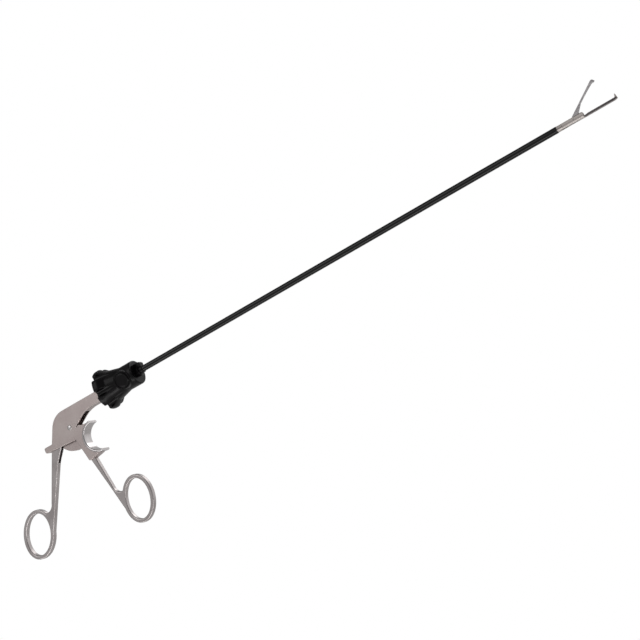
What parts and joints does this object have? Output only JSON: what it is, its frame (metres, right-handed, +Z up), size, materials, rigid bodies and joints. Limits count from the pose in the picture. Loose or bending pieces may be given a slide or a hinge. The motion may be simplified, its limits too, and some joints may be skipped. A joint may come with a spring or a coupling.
{
  "type": "laparoscopic grasper",
  "caption": "Ring-handled laparoscopic grasper with a turning knob, a long insulated shaft and hooked jaws, one of which opens as the thumb ring swings.",
  "frame": {"origin": "centre of the free shaft's rear end, in the front face of the index collar", "axes": "+X along the shaft towards the jaws, +Z up with the rings below, Y across the handle"},
  "size_m": [0.5911, 0.034, 0.1289],
  "materials": {
    "satin_steel": "bead-blasted stainless steel",
    "polished_steel": "polished stainless steel",
    "washer_plastic": "sliding plastic",
    "knob_plastic": "moulded black plastic",
    "inner_steel": "ground stainless steel",
    "sleeve_plastic": "smooth glossy insulation",
    "seal_rubber": "soft sealing rubber",
    "jaw_steel": "satin stainless steel"
  },
  "bodies": {
    "handle": {"handle_frame": "satin_steel", "finger_rest": "polished_steel", "finger_ring": "satin_steel", "handle_pivot": "polished_steel", "pivot_nut": "polished_steel", "pivot_washers": "washer_plastic", "socket_bush": "washer_plastic", "hub_dowels": "inner_steel"},
    "thumb_handle": {"thumb_ring": "satin_steel"},
    "shaft": {"rotation_knob": "knob_plastic", "shaft_hub": "inner_steel", "seal_cap": "inner_steel", "rod_seal": "seal_rubber", "hub_seal": "seal_rubber", "shaft_collar": "inner_steel", "index_collar": "sleeve_plastic", "shaft_tube": "inner_steel", "insulation_sleeve": "sleeve_plastic", "fixed_jaw": "jaw_steel", "jaw_pivot": "inner_steel", "latch_spring": "inner_steel"},
    "rod": {"pull_rod": "inner_steel", "rod_ball": "inner_steel", "drive_tang": "inner_steel"},
    "jaw": {"moving_jaw": "jaw_steel", "drive_pin": "inner_steel"},
    "release": {"release_button": "knob_plastic", "latch_plate": "inner_steel"}
  },
  "joints": [
    {"name": "thumb_swing", "type": "hinge", "parent": "handle", "child": "thumb_handle", "pos_m": [-0.0844, 0, -0.0133], "axis": [0, -1, 0], "range_deg": [0, 16]},
    {"name": "shaft_turn", "type": "hinge", "parent": "handle", "child": "shaft", "pos_m": [-0.0337, 0, 0], "axis": [1, 0, 0], "continuous": true},
    {"name": "rod_slide", "type": "slide", "parent": "shaft", "child": "rod", "axis": [-1, 0, 0], "range_m": [0, 0.00374]},
    {"name": "jaw_swing", "type": "hinge", "parent": "shaft", "child": "jaw", "pos_m": [0.3878, 0, 0], "axis": [0, 1, 0], "range_deg": [0, 36]},
    {"name": "button_press", "type": "slide", "parent": "shaft", "child": "release", "axis": [0, 0.9781, 0.2079], "range_m": [0, 0.0013], "stiffness_N_per_m": 400, "springref_m": -0.002, "deforming": ["latch_spring"]}
  ],
  "couplings": [
    {"joint": "rod_slide", "follows": "thumb_swing", "m_per_rad": 0.013387},
    {"joint": "jaw_swing", "follows": "thumb_swing", "ratio": 2.25}
  ]
}
